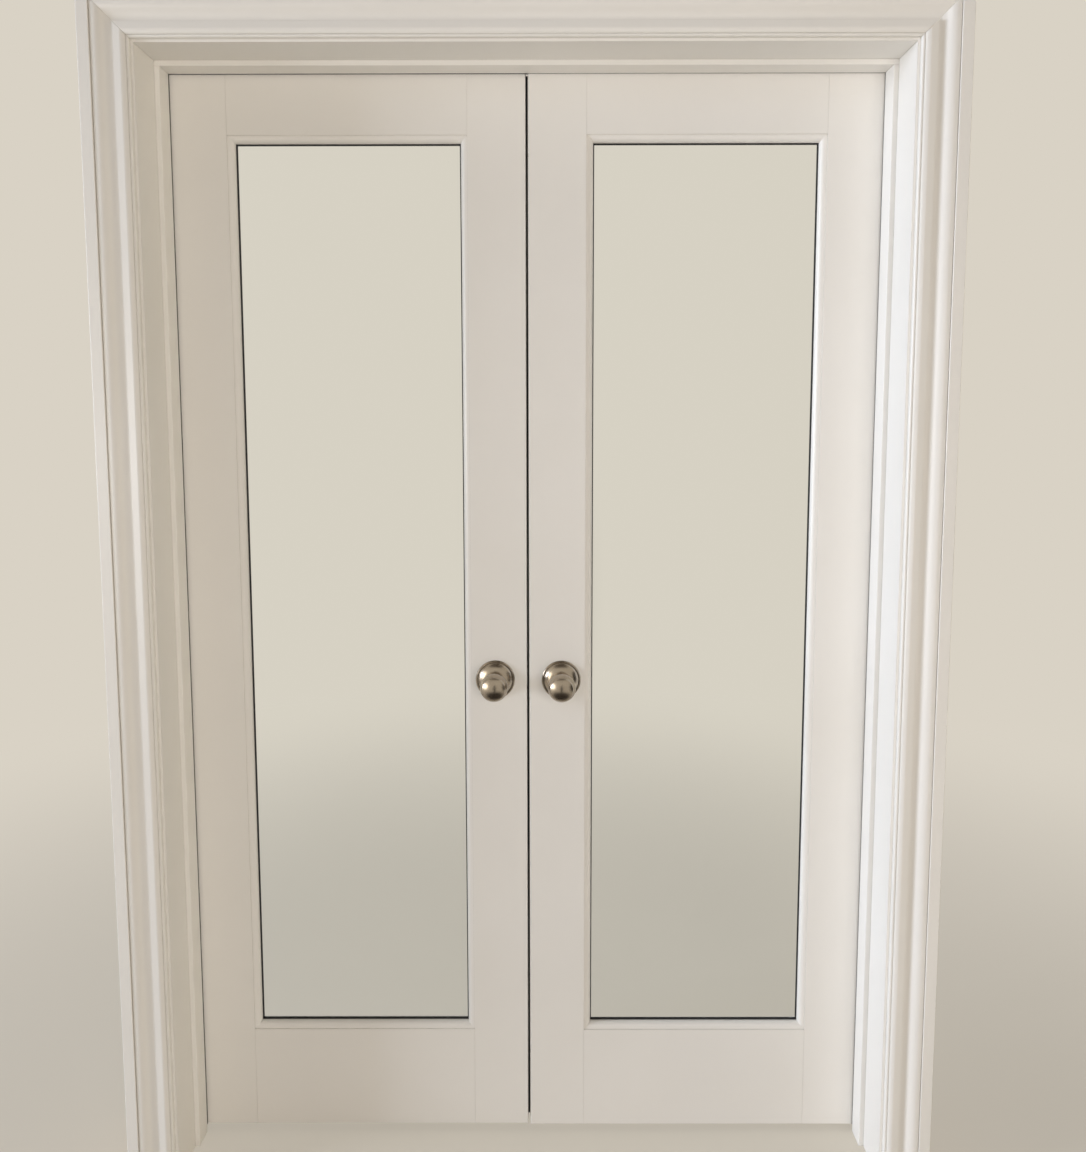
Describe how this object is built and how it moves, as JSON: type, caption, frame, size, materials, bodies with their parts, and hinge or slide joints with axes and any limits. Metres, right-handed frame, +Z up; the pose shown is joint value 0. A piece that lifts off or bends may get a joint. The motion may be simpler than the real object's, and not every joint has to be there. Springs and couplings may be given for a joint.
{
  "type": "french doors",
  "caption": "Pair of glazed timber doors in a cased frame, hinged at the sides, with round knobs, a latch between the leaves and flush bolts.",
  "frame": {"origin": "on the finished floor at the middle of the pair, halfway through the part's depth from the front casing's face to the far knobs", "axes": "+X to the right seen from the side with the stops, +Y through the doorway, the way the leaves open, +Z up"},
  "size_m": [1.4846, 0.2666, 2.1345],
  "materials": {
    "white_paint": "white semi-gloss paint on timber",
    "glass": "clear float glass",
    "gasket_rubber": "black rubber",
    "satin_nickel": "satin nickel",
    "bright_steel": "zinc-plated steel"
  },
  "bodies": {
    "frame": {"left_jamb": "white_paint", "right_jamb": "white_paint", "head_jamb": "white_paint", "left_stop": "white_paint", "right_stop": "white_paint", "head_stop": "white_paint", "left_stop_seal": "gasket_rubber", "right_stop_seal": "gasket_rubber", "front_casing_left": "white_paint", "front_casing_right": "white_paint", "front_casing_head": "white_paint", "back_casing_left": "white_paint", "back_casing_right": "white_paint", "back_casing_head": "white_paint", "left_frame_hinge_plates": "satin_nickel", "right_frame_hinge_plates": "satin_nickel", "left_hinge_pins": "satin_nickel", "right_hinge_pins": "satin_nickel", "left_frame_hinge_screws": "satin_nickel", "right_frame_hinge_screws": "satin_nickel", "head_bolt_strike": "satin_nickel"},
    "left_leaf": {"left_hinge_stile": "white_paint", "left_lock_stile": "white_paint", "left_top_rail": "white_paint", "left_bottom_rail": "white_paint", "left_glass": "glass", "left_gasket": "gasket_rubber", "left_glazing_beads": "white_paint", "left_door_hinge_plates": "satin_nickel", "left_door_hinge_screws": "satin_nickel", "meeting_seal": "gasket_rubber", "latch_case": "bright_steel", "latch_faceplate": "satin_nickel", "left_near_rose": "satin_nickel", "left_far_rose": "satin_nickel", "left_rose_bolts": "bright_steel"},
    "right_leaf": {"right_hinge_stile": "white_paint", "right_lock_stile": "white_paint", "right_top_rail": "white_paint", "right_bottom_rail": "white_paint", "right_glass": "glass", "right_gasket": "gasket_rubber", "right_glazing_beads": "white_paint", "right_door_hinge_plates": "satin_nickel", "right_door_hinge_screws": "satin_nickel", "strike_plate": "satin_nickel", "right_near_rose": "satin_nickel", "right_far_rose": "satin_nickel", "right_near_knob": "satin_nickel", "right_far_knob": "satin_nickel", "dummy_stud": "bright_steel", "top_bolt_case": "satin_nickel", "bottom_bolt_case": "satin_nickel"},
    "knob": {"left_near_knob": "satin_nickel", "left_far_knob": "satin_nickel", "spindle": "bright_steel"},
    "latch": {"latch_bolt": "satin_nickel"},
    "top_bolt": {"top_bolt_rod": "satin_nickel"},
    "bottom_bolt": {"bottom_bolt_rod": "satin_nickel"}
  },
  "joints": [
    {"name": "left_leaf_swing", "type": "hinge", "parent": "frame", "child": "left_leaf", "pos_m": [-0.65325, 0.05985, 0.922], "axis": [0, 0, 1], "range_deg": [0, 170]},
    {"name": "right_leaf_swing", "type": "hinge", "parent": "frame", "child": "right_leaf", "pos_m": [0.65325, 0.05735, 0.922], "axis": [0, 0, -1], "range_deg": [0, 170]},
    {"name": "knob_turn", "type": "hinge", "parent": "left_leaf", "child": "knob", "pos_m": [-0.06305, 0.03585, 0.922], "axis": [0, 1, 0], "range_deg": [0, 60]},
    {"name": "latch_slide", "type": "slide", "parent": "left_leaf", "child": "latch", "axis": [1, 0, 0], "range_m": [0, 0.0127]},
    {"name": "top_bolt_slide", "type": "slide", "parent": "right_leaf", "child": "top_bolt", "axis": [0, 0, 1], "range_m": [0, 0.012]},
    {"name": "bottom_bolt_slide", "type": "slide", "parent": "right_leaf", "child": "bottom_bolt", "axis": [0, 0, -1], "range_m": [0, 0.02]}
  ],
  "couplings": [
    {"joint": "latch_slide", "follows": "knob_turn", "m_per_rad": 0.012103}
  ]
}
